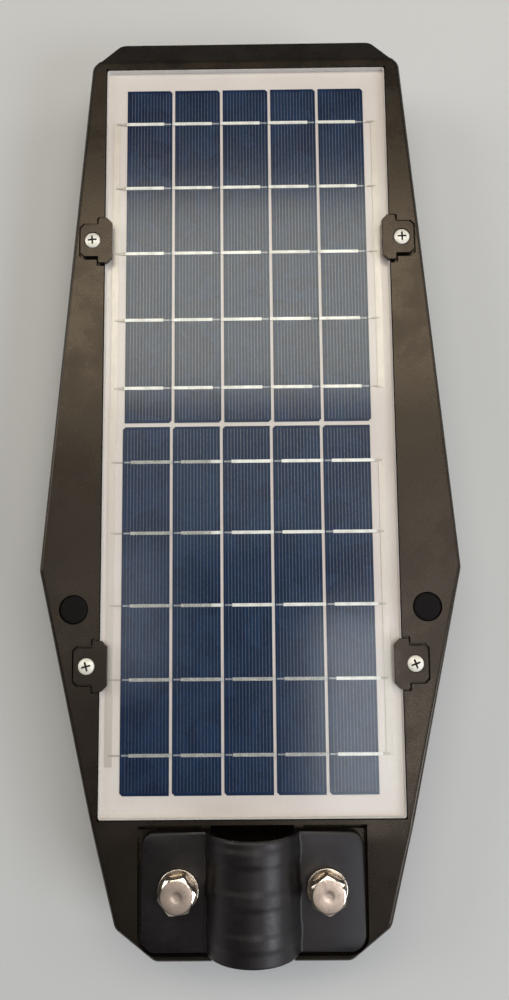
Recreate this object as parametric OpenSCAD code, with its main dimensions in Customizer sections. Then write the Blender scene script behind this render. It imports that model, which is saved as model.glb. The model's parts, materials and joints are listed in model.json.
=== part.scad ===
// Solar street lamp: a flat all-in-one lamp that clamps onto the end of a pole arm.
// The origin is on the axis of the pole bore, in line with the two clamp bolts.
// +X is to the right, +Y runs from the pole to the far end, and +Z is up, through the solar panel.
// The lamp lies on the flat rim round its underside.

/* [Housing outline] */
// Bolt row to the far end
far_end_y = 379.5; // [376:0.5:384]
// Bolt row to the pole end
pole_end_y = 28.5; // [28:0.25:29.5]
// Width at the far end
far_end_w = 117; // [110:0.2:118]
// Width at the far shoulders
far_shoulder_w = 142.6; // [142:0.2:147]
// Height of the chamfer at the far shoulders
far_chamfer = 14; // [12.5:0.5:14]
// Greatest width
wide_w = 182; // [180:0.2:186]
// Bolt row to the widest place
wide_y = 132; // [128:1:136]
// Width beside the near edge of the panel
near_shoulder_w = 135.8; // [135:0.2:140]
// Width at the top of the chamfer beside the clamp
pole_shoulder_w = 114.4; // [113:0.2:118]
// Height of that chamfer
pole_chamfer = 13.2; // [12:0.2:14]
// Width of the pole end
pole_end_w = 81.2; // [78:0.2:84]
// Radius of the corners of the outline
corner_r = 5; // [2:0.5:7]

/* [Housing heights] */
// Deck beside the panel
deck_z = 6.5; // [6.2:0.1:7]
// Top of the pole end
pole_deck_z = 4.5; // [4:0.1:5]
// Parting plane of the two housings
split_z = -22; // [-23:0.5:-21.5]
// Flat rim that the lamp lies on
rest_z = -38; // [-40:0.5:-37.5]
// Radius along the upper edges
edge_r = 2; // [1:0.25:2.25]
// Wall thickness of the top housing
wall = 3; // [2.5:0.25:3.5]

/* [Solar panel] */
// Width of the panel
panel_w = 128; // [127:0.5:128.5]
// Length of the panel
panel_l = 335; // [334:0.5:336]
// Bolt row to the middle of the panel
panel_y = 196; // [195.5:0.25:197]
// Top of the glass
glass_z = 6; // [5.8:0.1:6.2]
// Thickness of the glass
glass_t = 2; // [1.6:0.1:2.4]
// Length of one cell strip, a cell's full width
cell_l = 157.75; // [155:0.25:158]
// Distance from busbar to busbar
busbar_pitch = 31.35; // [31:0.05:31.5]
// Distance from strip to strip
cell_pitch = 22.1; // [21.5:0.1:22.3]
// Gap between strips
cell_gap = 1.3; // [1:0.1:1.6]
// Gap between the two groups of strips
group_gap = 1.8; // [1.5:0.1:3]
// Sideways place of the far group of strips
far_group_x = -0.4; // [-1.5:0.1:1.5]
// Sideways place of the near group of strips
near_group_x = -1.1; // [-1.5:0.1:1.5]
// Width of the tabbing ribbons
ribbon_w = 1.4; // [1:0.1:1.6]

/* [Pole clamp] */
// Radius of the pole bore, for a 33.7 mm pipe
bore_r = 17.5; // [16.9:0.1:17.8]
// Wall of the arch over the pole
arch_t = 2.6; // [2.2:0.1:2.8]
// Width of the clamp plate
plate_w = 93; // [90:0.5:94]
// Length of the clamp plate
plate_l = 47.9; // [46.5:0.1:48.3]
// Thickness of the clamp plate
plate_t = 3; // [2.5:0.25:3]
// Distance between the two bolts
bolt_spacing = 61.5; // [60:0.5:63]
// Depth of the pole socket, from the pole end to its stop
socket_l = 54.6; // [53.4:0.1:54.8]

/* [Panel clips] */
// Distance between the clips along the panel
clip_pitch = 188.8; // [180:0.2:200]
// Middle of the clips, from the middle of the panel
clip_shift = -10.2; // [-12:0.1:-8]
// Distance of the clip screws from the centre line
clip_screw_x = 69.6; // [69.2:0.1:70.2]

/* [Light and sensor] */
// Distance between LEDs
led_pitch = 18; // [17:0.5:18]
// Bolt row to the middle of the LED board
led_y = 264; // [260:1:266]
// Bolt row to the middle of the motion sensor
sensor_y = 138; // [136:1:140]
// Radius of the sensor dome
dome_r = 11.5; // [10:0.5:11.5]

/* [Battery] */
// Radius of a cell with its sleeve
battery_r = 13.1; // [12.9:0.1:13.2]
// Length of a cell
battery_l = 65.2; // [64:0.2:66]

/* [Hidden] */
$fn = 64;
BIG = 400;

// Housing
half_widths = [
    [-pole_end_y, pole_end_w / 2],
    [pole_chamfer - pole_end_y, pole_shoulder_w / 2],
    [panel_y - panel_l / 2, near_shoulder_w / 2],
    [wide_y, wide_w / 2],
    [far_end_y - far_chamfer, far_shoulder_w / 2],
    [far_end_y, far_end_w / 2]];
outline = part_outline(-pole_end_y, far_end_y);
deck_near_y = 20;
deck_far_y = 368.2;
pole_end_fall = (deck_z - pole_deck_z) / (deck_near_y + pole_end_y);
far_slope = 3;
far_end_z = 4.4;
tray_gap = 0.6;
tray_floor_z = 0.8;
ceiling_z = -1.7;
flank_ceiling_z = 1.5;
land_ceiling_z = -4;
bulkhead_y = 28;
bulkhead_t = 2.5;
floor_z = -33;
floor_t = 2.5;
floor_top_z = floor_z + floor_t;
bottom_wall = 4;
rim_inset = 8;
recess_inset = 17;
recess_near_y = 36;
seal_in = 1.2;
seal_w = 1.6;
seal_h = 1.6;

// Clamp
socket_stop_y = socket_l - pole_end_y;
plate_z = 1;
plate_top_z = plate_z + plate_t;
plate_near_y = -25;
plate_corner_r = 6.8;
recess_gap = 1.1;
groove_z = -2.5;
bolt_x = bolt_spacing / 2;
bolt_r = 4;
bolt_flats = 14;
bolt_l = 35;
head_t = 5.5;
flat_washer_r = 8.5;
flat_washer_t = 1.6;
spring_washer_r = 7.05;
spring_washer_t = 2.1;
washer_hole_r = bolt_r + 0.1;
bolt_seat_z = plate_top_z + flat_washer_t + spring_washer_t;
nut_t = 6.5;
nut_z = split_z + 0.1;
nut_fit = 0.2;
bolt_hole_r = 4.5;

// Panel stack, from the glass down
ribbon_t = 0.25;
cell_t = 0.3;
backsheet_t = 0.45;
glass_under_z = glass_z - glass_t;
cell_top_z = glass_under_z - ribbon_t;
backsheet_top_z = cell_top_z - cell_t;
backsheet_under_z = backsheet_top_z - backsheet_t;
strips = 5;
busbars = 5;
first_busbar = 15.8;
strip_w = cell_pitch - cell_gap;
bus_x = 59.5;
group_y = (cell_l + group_gap) / 2;
cable_hole_w = 34;
cable_hole_l = 24;

// Clips: a bar over the glass and a body in a pocket of the deck
clip_bar_x = 60.8;
clip_neck_x = 67;
clip_out_x = 75;
clip_bar_l = 21.2;
clip_body_l = 15.2;
clip_floor_z = 4;
clip_top_z = 8.2;
clip_gap = 0.95;
clip_ys = [panel_y + clip_shift + clip_pitch / 2, panel_y + clip_shift - clip_pitch / 2];

// Screws: self-tapping, 3.5 mm, with a 7 mm head
screw_r = 1.75;
screw_head_r = 3.5;
screw_head_t = 2.4;
pilot_r = 1.8;
clear_r = 2;
head_room = 0.3;
shell_screw_inset = 12.8;
shell_screws = concat(
    [for (y = [-4, 60, 150, 240, 330]) [half_w(y) - shell_screw_inset, y]],
    [[40, 365.5]]);
shell_screw_l = 21;
plug_x = 75.7;
plug_y = 115.2;
plug_r = 6.2;
plug_floor_z = 2.5;
plug_top_z = 6.2;
flank_seat_z = -3;
flank_screw_l = 25;

// Light
lens_ys = [led_y - 40, led_y + 40];
lens_columns = [-2:2];
lens_rows = [-1.5:1.5];
window_w = 94;
window_l = 70;
lens_border = 4;
gasket_t = 0.8;
lens_z = floor_top_z + gasket_t;
lens_t = 2;
lens_rim = 1;
lens_tip_z = -36.2;
lens_base_r = 7.5;
lens_h = lens_z - lens_tip_z;
lens_r = (lens_base_r * lens_base_r + lens_h * lens_h) / (2 * lens_h);
led_board_w = 116;
led_board_l = 162;
led_board_t = 1.6;
led_board_z = lens_z + lens_t + lens_rim;
led_screw_x = 54.5;
led_screw_ys = [led_y - 76, led_y, led_y + 76];

// Sensor, controller and switch
pit_r = 19;
pit_floor_z = -25;
dome_z = -25;
dome_t = 1;
dome_flange_r = 14;
dome_flange_t = 1.5;
board_z = -17.8;
board_t = 1.6;
board_w = 96;
board_l = 50;
board_screws = [for (x = [-45, 45], dy = [-21.5, 21.5]) [x, sensor_y + dy]];
small_screw_r = 1.4;
small_head_r = 2.7;
small_head_t = 1.8;
switch_x = 36;
button_r = 4.3;
button_gap = 0.1;
button_travel = 1.5;
button_h = 2;
light_pipe_xs = [-32, -38, -44];
light_pipe_r = 1.5;

// Battery
battery_z = -16;
battery_y = 38;
battery_xs = [-27, 0, 27];
strap_y = 70;
strap_w = 14;
strap_t = 0.8;
strap_x = 42.5;
strap_top_z = battery_z + battery_r + 0.1;

// Leads: 1.6 mm wires inside the housing, each along a route of its own
wire_r = 0.8;
wire_sides = 8;
wire_steps = 3;
pair_dx = 1.9;
panel_route = [[-4, 196, -4.45], [-4, 196, -5.5], [-4, 196, -7], [-4, 193.5, -9.6], [-5, 188.5, -10.2],
    [-7, 180, -8.8], [-9, 171, -7.4], [-9, 163.5, -7.8], [-9, 160.4, -9.6], [-9, 160, -11], [-9, 160, -12],
    [-9, 160, -12.95]];
led_route = [[8, 190, -25.05], [8, 190, -24.1], [8, 190, -22.9], [8, 188, -19.5], [8, 182.5, -15.5],
    [9, 176, -11.5], [10, 169, -8.6], [10, 163.4, -8.2], [10, 160.4, -9.8], [10, 160, -11], [10, 160, -12],
    [10, 160, -12.95]];
battery_route = [[-4, 105.65, -16], [-4, 106.5, -16], [-4, 107.5, -16], [-4.5, 110, -14],
    [-5.2, 112, -10.8], [-6, 115, -8.6], [-6, 118.6, -8.6], [-6, 119.9, -10], [-6, 120, -11],
    [-6, 120, -12], [-6, 120, -12.95]];
switch_route = [[36, 144.05, -23], [36, 145, -23], [36, 146, -23], [36, 149.6, -22.8], [36, 153.6, -21.6],
    [36, 154.9, -20.2], [36, 155, -19.4], [36, 155, -18.6], [36, 155, -17.85]];

// ---- Outlines ----

// A whole outline, anticlockwise, from its right half, whose points run from -Y to +Y
function both_sides(half) =
    concat(half, [for (i = [len(half) - 1:-1:0]) [-half[i][0], half[i][1]]]);

// Half the width of the housing
function half_w(y) = lookup(y, half_widths);

// The outline of the housing between two places along Y
function part_outline(y0, y1) = both_sides(concat(
    [[half_w(y0), y0]],
    [for (p = half_widths) if (p[0] > y0 && p[0] < y1) [p[1], p[0]]],
    [[half_w(y1), y1]]));

// Outward normal of the edge that leaves point i
function edge_normal(p, i) =
    let (d = p[(i + 1) % len(p)] - p[i])
    [d[1], -d[0]] / norm(d);

// Point i moved inwards by d from both of its edges
function inner_point(p, i, d) =
    let (a = edge_normal(p, (i + len(p) - 1) % len(p)), b = edge_normal(p, i))
    p[i] - d * (a + b) / (1 + a * b);

// A convex outline moved inwards by d
function inset(p, d) = [for (i = [0:len(p) - 1]) inner_point(p, i, d)];

// A convex outline with its corners rounded to radius r
function rounded(p, r, steps = 4) = [for (i = [0:len(p) - 1])
    let (
        a = edge_normal(p, (i + len(p) - 1) % len(p)),
        b = edge_normal(p, i),
        from = atan2(a[1], a[0]),
        turn = acos(a * b))
    for (k = [0:steps])
        inner_point(p, i, r) + r * [cos(from + turn * k / steps), sin(from + turn * k / steps)]];

// ---- Shared shapes ----

module slab(p, z0, z1) {
    translate([0, 0, z0]) linear_extrude(z1 - z0) polygon(p);
}

module block(x0, x1, y0, y1, z0, z1) {
    translate([x0, y0, z0]) cube([x1 - x0, y1 - y0, z1 - z0]);
}

module post(x, y, r, z0, z1) {
    translate([x, y, z0]) cylinder(r = r, h = z1 - z0);
}

// A cylinder along Y
module bar_y(r, y0, y1, x = 0, z = 0) {
    translate([x, y0, z]) rotate([-90, 0, 0]) cylinder(r = r, h = y1 - y0);
}

// The layers of a rounded upper edge, whose top is at z1 at level_y and falls towards the pole
module crown(p, z1, fall = 0, level_y = 0) {
    multmatrix([[1, 0, 0, 0], [0, 1, 0, 0], [0, fall, 1, -fall * level_y], [0, 0, 0, 1]])
        for (a = [0:30:90])
            slab(rounded(inset(p, edge_r * (1 - cos(a))), corner_r), -10, z1 - edge_r * (1 - sin(a)));
}

// A shape cut down to the stretch between two places along Y
module between(y0, y1) {
    intersection() {
        children();
        block(-BIG, BIG, y0, y1, -BIG, BIG);
    }
}

module left_and_right() {
    children();
    mirror([1, 0, 0]) children();
}

// A self-tapping screw whose head lies under seat_z when up is 1, and over it when up is -1
module screw(x, y, seat_z, length, r, head_r, head_t, up = 1) {
    translate([x, y, seat_z]) mirror([0, 0, up > 0 ? 0 : 1]) union() {
        cylinder(r = r, h = length);
        translate([0, 0, -head_t]) cylinder(r = head_r, h = head_t);
    }
}

// ---- Housings ----

module shell_screw_places() {
    for (p = shell_screws) left_and_right() translate([p[0], p[1], 0]) children();
}

// The T outline of a clip, grown by g
module clip_outline(g) {
    bar = clip_bar_l / 2 + g;
    body = clip_body_l / 2 + g;
    nose = 2.4;
    neck = 0.6;
    tail = 1.9;
    half = [
        [clip_bar_x, nose - bar], [clip_bar_x + nose, -bar], [clip_neck_x - neck + g, -bar],
        [clip_neck_x + g, neck - bar], [clip_neck_x + g, -body], [clip_out_x - tail + g, -body],
        [clip_out_x + g, tail - body]];
    polygon(concat(half, [for (i = [len(half) - 1:-1:0]) [half[i][0], -half[i][1]]]));
}

module top_cavity() {
    inner = inset(outline, wall);
    between(bulkhead_y + bulkhead_t, BIG) slab(inner, split_z - 1, ceiling_z);
    between(-BIG, bulkhead_y) slab(inner, split_z - 1, land_ceiling_z);
    left_and_right() intersection() {
        between(60, 340) slab(inner, split_z - 1, flank_ceiling_z);
        block(panel_w / 2 + tray_gap + 2.6, BIG, 0, BIG, -BIG, BIG);
    }
}

module clamp_block() {
    intersection() {
        bar_y(bore_r + wall, -pole_end_y, bulkhead_y);
        block(-BIG, BIG, -BIG, BIG, split_z, 0);
    }
    left_and_right() post(bolt_x, 0, 11, split_z, land_ceiling_z);
}

module top_housing() {
    color([0.17, 0.155, 0.145]) difference() {
        union() {
            difference() {
                hull() {
                    slab(rounded(outline, corner_r), split_z, split_z + 1);
                    slab(rounded(part_outline(wide_y, far_end_y), corner_r), split_z, far_end_z);
                    crown(part_outline(deck_near_y, deck_far_y), deck_z);
                    crown(part_outline(-pole_end_y, deck_near_y), deck_z, pole_end_fall, deck_near_y);
                }
                top_cavity();
            }
            clamp_block();
            left_and_right() {
                for (p = shell_screws)
                    post(p[0], p[1], 4.5, split_z, p[1] > bulkhead_y ? flank_ceiling_z + 0.5 : -1);
                for (y = clip_ys) post(clip_screw_x, y, 4, -9, flank_ceiling_z + 0.5);
                post(plug_x, plug_y, 7.5, split_z, plug_floor_z - 0.5);
            }
        }
        // Slope down to the far end
        rotate([90, 0, 90]) linear_extrude(BIG, center = true) polygon([
            [deck_far_y, far_end_z], [far_end_y + 5, far_end_z - far_slope * 1.5],
            [far_end_y + 5, deck_z], [deck_far_y, deck_z]]);
        // Tray of the panel, and the hole for its leads
        block(-panel_w / 2 - tray_gap, panel_w / 2 + tray_gap, panel_y - panel_l / 2 - tray_gap,
            panel_y + panel_l / 2 + tray_gap, tray_floor_z, BIG);
        translate([0, panel_y, 0]) cube([cable_hole_w, cable_hole_l, 20], center = true);
        // Pockets of the clips
        left_and_right() for (y = clip_ys) {
            translate([0, y, clip_floor_z]) linear_extrude(20) clip_outline(clip_gap);
            post(clip_screw_x, y, pilot_r, -8.5, 10);
        }
        // Plugs and the screws under them
        left_and_right() {
            post(plug_x, plug_y, plug_r + 0.1, plug_floor_z, 10);
            post(plug_x, plug_y, screw_head_r + head_room, flank_seat_z, 10);
            post(plug_x, plug_y, clear_r, split_z - 1, 0);
        }
        shell_screw_places() post(0, 0, pilot_r, split_z - 1, floor_z + shell_screw_l + 1);
        clamp_recess();
        bar_y(bore_r, -BIG, socket_stop_y);
        left_and_right() {
            post(bolt_x, 0, bolt_hole_r, split_z - 1, 1);
            translate([bolt_x, 0, split_z - 1])
                cylinder(r = (bolt_flats / 2 + nut_fit) / cos(30), h = nut_t + 1 + 0.2, $fn = 6);
        }
    }
}

// The recess that the clamp plate lies in: square corners at the stop, round ones at the pole end
module clamp_recess() {
    x = plate_w / 2 + recess_gap;
    y = plate_near_y - recess_gap;
    r = plate_corner_r + recess_gap;
    block(-x, x, y + r, socket_stop_y, 0, BIG);
    block(r - x, x - r, y, socket_stop_y, 0, BIG);
    // Drain groove along the stop
    left_and_right() block(bore_r + wall + 1, x, plate_near_y + plate_l, socket_stop_y, groove_z, BIG);
    left_and_right() post(x - r, y + r, r, 0, BIG);
}

module bottom_housing() {
    color([0.15, 0.14, 0.135]) difference() {
        union() {
            difference() {
                hull() {
                    slab(rounded(outline, corner_r), split_z - 5, split_z);
                    slab(rounded(inset(outline, 3), corner_r), rest_z + 4.5, rest_z + 4.51);
                    slab(rounded(inset(outline, rim_inset), corner_r), rest_z, rest_z + 0.01);
                }
                slab(inset(outline, bottom_wall), floor_top_z, split_z + 1);
                between(recess_near_y, BIG) slab(inset(outline, recess_inset), rest_z - 1, floor_z);
            }
            shell_screw_places() post(0, 0, 5.5, floor_top_z - 1, split_z);
            left_and_right() {
                post(plug_x, plug_y, 5.5, floor_top_z - 1, split_z);
                post(bolt_x, 0, 9, floor_top_z - 1, split_z);
                for (y = led_screw_ys) post(led_screw_x, y, 3.2, floor_top_z - 1, led_board_z);
            }
            for (p = board_screws) post(p[0], p[1], 3.2, floor_top_z - 1, board_z);
            post(0, sensor_y, pit_r + floor_t, floor_top_z - 1, pit_floor_z + floor_t);
            battery_cradles();
        }
        shell_screw_places() {
            post(0, 0, clear_r, rest_z - 1, split_z + 1);
            post(0, 0, screw_head_r + head_room, rest_z - 1, floor_z);
        }
        left_and_right() {
            post(plug_x, plug_y, pilot_r, flank_seat_z - flank_screw_l - 1, split_z + 1);
            post(bolt_x, 0, 5.5, floor_top_z, split_z + 1);
            for (y = led_screw_ys) post(led_screw_x, y, small_screw_r + 0.05, floor_top_z - 1, BIG);
            post(strap_x + 6.5, strap_y, small_screw_r + 0.05, floor_top_z - 2, floor_top_z + 1);
        }
        for (p = board_screws) post(p[0], p[1], small_screw_r + 0.05, floor_top_z, BIG);
        for (y = lens_ys) translate([0, y, floor_z]) cube([window_w, window_l, 20], center = true);
        post(0, sensor_y, pit_r, rest_z - 1, pit_floor_z);
        post(0, sensor_y, dome_r + 0.3, rest_z - 1, split_z + 1);
        post(switch_x, sensor_y, 6.1, rest_z - 1, split_z);
        for (x = light_pipe_xs) post(x, sensor_y, light_pipe_r + 0.1, rest_z - 1, split_z);
        difference() {
            slab(inset(outline, seal_in - 0.1), split_z - seal_h, split_z + 1);
            slab(inset(outline, seal_in + seal_w + 0.1), split_z - seal_h - 1, split_z + 2);
        }
    }
}

// Two ribs on the floor, with a round seat for each battery cell
module battery_cradles() {
    for (y = [battery_y + 7, battery_y + battery_l - 12])
        difference() {
            block(-42, 42, y, y + 5, floor_top_z - 1, floor_top_z + 6.5);
            for (x = battery_xs) bar_y(battery_r + 0.2, y - 1, y + 6, x, battery_z);
        }
}

module housing_seal() {
    color("dimgray") difference() {
        slab(inset(outline, seal_in), split_z - seal_h, split_z);
        slab(inset(outline, seal_in + seal_w), split_z - seal_h - 1, split_z + 1);
    }
}

module shell_screw_set() {
    color("silver") shell_screw_places()
        screw(0, 0, floor_z, shell_screw_l, screw_r, screw_head_r, screw_head_t);
}

module flank_screws() {
    color("silver") left_and_right()
        screw(plug_x, plug_y, flank_seat_z, flank_screw_l, screw_r, screw_head_r, screw_head_t, -1);
}

module plug() {
    color([0.1, 0.1, 0.1]) difference() {
        post(plug_x, plug_y, plug_r, plug_floor_z, plug_top_z);
        post(plug_x, plug_y, plug_r - 2, plug_floor_z - 1, plug_top_z - 2);
    }
}

// ---- Solar panel ----

function group_x(g) = g > 0 ? far_group_x : near_group_x;

// Y of a row of tabbing ribbons, counted from the gap between the groups
function row_y(g, b) = panel_y + g * (group_gap / 2 + first_busbar + b * busbar_pitch);

module panel_glass() {
    color([0.8, 0.86, 0.9, 0.35]) translate([-panel_w / 2, panel_y - panel_l / 2, glass_under_z])
        cube([panel_w, panel_l, glass_t]);
}

// One group of strips; the clipped corners are on its right, or on its left when flip is 1
module cell_group(x, y, flip) {
    cut = 1.1;
    x0 = -strip_w / 2;
    x1 = strip_w / 2;
    l = cell_l / 2;
    color([0.05, 0.09, 0.22]) translate([x, y, backsheet_top_z]) for (i = [0:strips - 1])
        translate([(i - (strips - 1) / 2) * cell_pitch, 0, 0]) mirror([flip, 0, 0])
            linear_extrude(cell_t)
                polygon([[x0, -l], [x1 - cut, -l], [x1, cut - l], [x1, l - cut], [x1 - cut, l], [x0, l]]);
}

// The tinned ribbons on the strips: each starts in the gap on one side and stops short of the other
module tabbing_ribbons() {
    ribbon_l = 0.82 * strip_w;
    color("gainsboro") union() for (g = [1, -1], b = [0:busbars - 1]) {
        for (i = [0:strips - 1])
            translate([
                group_x(g) + (i - (strips - 1) / 2) * cell_pitch - g * (strip_w - ribbon_l + cell_gap) / 2,
                row_y(g, b), cell_top_z + ribbon_t / 2])
                cube([ribbon_l + cell_gap, ribbon_w, ribbon_t], center = true);
        ribbon_tail(g, b, g, strips / 2 * cell_pitch - cell_gap / 2, 0.5);
        ribbon_tail(g, b, -g, strips / 2 * cell_pitch + cell_gap / 2 - 0.1, 0.9);
    }
}

// The end of a row of ribbons, which crosses the margin and lies on the bus ribbon
module ribbon_tail(g, b, side, from_x, w) {
    block(min(side * from_x, side * bus_x) + group_x(g), max(side * from_x, side * bus_x) + group_x(g),
        row_y(g, b) - w / 2, row_y(g, b) + w / 2, cell_top_z, glass_under_z);
}

// The wide ribbons down both margins, which join the ends of the rows. Those on the left overlap in the
// middle and put the two groups in series.
module bus_ribbons() {
    bus_w = 3;
    last = busbars - 1;
    color("gainsboro") union() for (p = [
        [far_group_x - bus_x, panel_y - 8, row_y(1, last) + 0.8],
        [near_group_x - bus_x, row_y(-1, last) - 4.7, panel_y + 8],
        [far_group_x + bus_x, row_y(1, 0) - 0.8, row_y(1, last) + 0.8],
        [near_group_x + bus_x, row_y(-1, last) - 0.8, row_y(-1, 0) + 0.8]])
        block(p[0] - bus_w / 2, p[0] + bus_w / 2, p[1], p[2], backsheet_top_z, cell_top_z);
}

module panel_backsheet() {
    color("seashell") translate([-panel_w / 2, panel_y - panel_l / 2, backsheet_under_z])
        cube([panel_w, panel_l, backsheet_t]);
}

module panel_foam_tape() {
    tape_w = 12;
    color("black") difference() {
        translate([-panel_w / 2 + 1, panel_y - panel_l / 2 + 1, tray_floor_z])
            cube([panel_w - 2, panel_l - 2, backsheet_under_z - tray_floor_z]);
        translate([-panel_w / 2 + 1 + tape_w, panel_y - panel_l / 2 + 1 + tape_w, 0])
            cube([panel_w - 2 - 2 * tape_w, panel_l - 2 - 2 * tape_w, 5]);
    }
}

module panel_terminal_box() {
    color([0.12, 0.12, 0.12])
        block(-13, 13, panel_y - 8, panel_y + 8, backsheet_under_z - 7.4, backsheet_under_z);
}

module panel_clip(side, y) {
    color([0.13, 0.12, 0.115]) mirror([side < 0 ? 1 : 0, 0, 0]) translate([0, y, 0]) difference() {
        union() {
            translate([0, 0, glass_z + 0.05]) linear_extrude(clip_top_z - glass_z - 0.05) clip_outline(0);
            intersection() {
                translate([0, 0, clip_floor_z + 0.05]) linear_extrude(2.5) clip_outline(0);
                block(panel_w / 2 + 0.3, 90, -20, 20, 0, 20);
            }
        }
        post(clip_screw_x, 0, clear_r, 0, 20);
        post(clip_screw_x, 0, screw_head_r + 0.2, clip_top_z - 1.2, 20);
    }
}

module clip_screws() {
    color("whitesmoke") left_and_right() for (y = clip_ys) difference() {
        union() {
            screw(clip_screw_x, y, clip_top_z - 1.2, 15, screw_r, screw_head_r, 1.2, -1);
            // Domed crown of the head
            intersection() {
                translate([clip_screw_x, y, clip_top_z - 6.4]) sphere(r = 7.3);
                post(clip_screw_x, y, screw_head_r, clip_top_z - 0.1, clip_top_z + 2);
            }
        }
        for (a = [0, 90]) translate([clip_screw_x, y, clip_top_z + 0.6]) rotate([0, 0, a + 12])
            cube([3.4, 0.8, 1.8], center = true);
    }
}

// ---- Pole clamp ----

module clamp_plate() {
    x = plate_w / 2;
    far_y = plate_near_y + plate_l;
    band_t = 0.5;
    color([0.14, 0.13, 0.125]) difference() {
        union() {
            slab(rounded([[x, plate_near_y], [x, far_y], [-x, far_y], [-x, plate_near_y]],
                plate_corner_r, 6), plate_z, plate_top_z);
            bar_y(bore_r + arch_t - band_t, plate_near_y, far_y);
            // Three shallow bands round the arch
            for (y = [-19, -3, 13]) bar_y(bore_r + arch_t, y, y + 6);
        }
        bar_y(bore_r, -BIG, BIG);
        block(-BIG, BIG, -BIG, BIG, -BIG, plate_z);
        left_and_right() post(bolt_x, 0, bolt_hole_r, -BIG, BIG);
    }
}

// A hexagon bolt, turned by the given angle; its head is chamfered round the top
module clamp_bolt(x, turn) {
    across_corners_r = bolt_flats / 2 / cos(30);
    flat_r = 6.5;
    color([0.8, 0.76, 0.7]) translate([x, 0, bolt_seat_z]) {
        union() {
            translate([0, 0, -bolt_l]) cylinder(r = bolt_r, h = bolt_l);
            intersection() {
                rotate([0, 0, turn]) cylinder(r = across_corners_r, h = head_t, $fn = 6);
                cylinder(r1 = flat_r + head_t * 1.8, r2 = flat_r, h = head_t);
            }
        }
    }
}

module washers(r, z, t) {
    color([0.75, 0.72, 0.66]) left_and_right() difference() {
        post(bolt_x, 0, r, z, z + t);
        post(bolt_x, 0, washer_hole_r, z - 1, z + t + 1);
    }
}

module flat_washers() {
    washers(flat_washer_r, plate_top_z, flat_washer_t);
}

module spring_washers() {
    washers(spring_washer_r, plate_top_z + flat_washer_t, spring_washer_t);
}

module clamp_nuts() {
    color("silver") left_and_right() translate([bolt_x, 0, nut_z]) difference() {
        cylinder(r = bolt_flats / 2 / cos(30), h = nut_t, $fn = 6);
        translate([0, 0, -1]) cylinder(r = bolt_r + 0.08, h = nut_t + 2);
    }
}

// ---- Light ----

module led_board() {
    color("white") difference() {
        block(-led_board_w / 2, led_board_w / 2, led_y - led_board_l / 2, led_y + led_board_l / 2,
            led_board_z, led_board_z + led_board_t);
        left_and_right() for (y = led_screw_ys) post(led_screw_x, y, 1.7, -BIG, 0);
        // Room for the screw bosses of the bottom housing
        shell_screw_places() post(0, 0, 6, -BIG, 0);
    }
}

module led_chips() {
    chip_t = 0.8;
    color("khaki") for (y0 = lens_ys, i = lens_columns, j = lens_rows)
        translate([i * led_pitch, y0 + j * led_pitch, led_board_z - chip_t / 2])
            cube([3.5, 3.5, chip_t], center = true);
}

// A clear plate with one dome for each LED, and a rim that keeps it off the board
module lens_plate(y) {
    w = window_w + 2 * lens_border;
    l = window_l + 2 * lens_border;
    color([0.85, 0.9, 0.92, 0.4]) translate([0, y, 0]) union() {
        difference() {
            block(-w / 2, w / 2, -l / 2, l / 2, lens_z, lens_z + lens_t + lens_rim);
            block(2 - w / 2, w / 2 - 2, 2 - l / 2, l / 2 - 2, lens_z + lens_t, 0);
        }
        intersection() {
            for (i = lens_columns, j = lens_rows)
                translate([i * led_pitch, j * led_pitch, lens_tip_z + lens_r]) sphere(r = lens_r);
            block(-w / 2, w / 2, -l / 2, l / 2, rest_z, lens_z + 0.5);
        }
    }
}

module lens_gasket(y) {
    w = window_w + 2 * lens_border;
    l = window_l + 2 * lens_border;
    color("gray") translate([0, y, 0]) difference() {
        block(-w / 2, w / 2, -l / 2, l / 2, floor_top_z, lens_z);
        block(-window_w / 2, window_w / 2, -window_l / 2, window_l / 2, rest_z, 0);
    }
}

module led_board_screws() {
    color("silver") left_and_right() for (y = led_screw_ys)
        screw(led_screw_x, y, led_board_z + led_board_t, 5, small_screw_r, small_head_r, small_head_t, -1);
}

// ---- Controller, sensor and switch ----

module controller_board() {
    color("darkgreen") difference() {
        block(-board_w / 2, board_w / 2, sensor_y - board_l / 2, sensor_y + board_l / 2, board_z,
            board_z + board_t);
        for (p = board_screws) post(p[0], p[1], 1.7, -BIG, 0);
    }
}

module power_inductor() {
    color([0.25, 0.25, 0.27]) translate([-30, sensor_y + 4, board_z + board_t]) union() {
        cylinder(r = 6, h = 1);
        cylinder(r = 4.4, h = 7);
        translate([0, 0, 6]) cylinder(r = 6, h = 1);
    }
}

module buffer_capacitors() {
    color("black") for (y = [-9, 2, 13]) translate([24, sensor_y + y, board_z + board_t]) union() {
        cylinder(r = 4, h = 10);
        cylinder(r = 4.15, h = 1);
    }
}

module controller_chips() {
    chip_t = 1.6;
    color([0.08, 0.08, 0.08]) for (p = [[0, 5, 7], [-14, 5, 5], [0, -9, 5], [-14, -9, 6]])
        translate([p[0], sensor_y + p[1], board_z + board_t + chip_t / 2])
            cube([p[2] + 3, p[2], chip_t], center = true);
}

module wire_connectors() {
    color("ivory") for (p = [[-9, 22], [10, 22], [-6, -18], [34, 18]])
        block(p[0] - 4, p[0] + 4, sensor_y + p[1] - 3.5, sensor_y + p[1] + 2.5, board_z + board_t,
            board_z + board_t + 3.2);
}

module controller_screws() {
    color("silver") for (p = board_screws)
        screw(p[0], p[1], board_z + board_t, 8, small_screw_r, small_head_r, small_head_t, -1);
}

module pir_sensor() {
    color("silver") translate([0, sensor_y, board_z - 4.2]) union() {
        cylinder(r = 4.1, h = 4.2);
        translate([0, 0, 3.6]) cylinder(r = 4.6, h = 0.6);
    }
}

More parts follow.
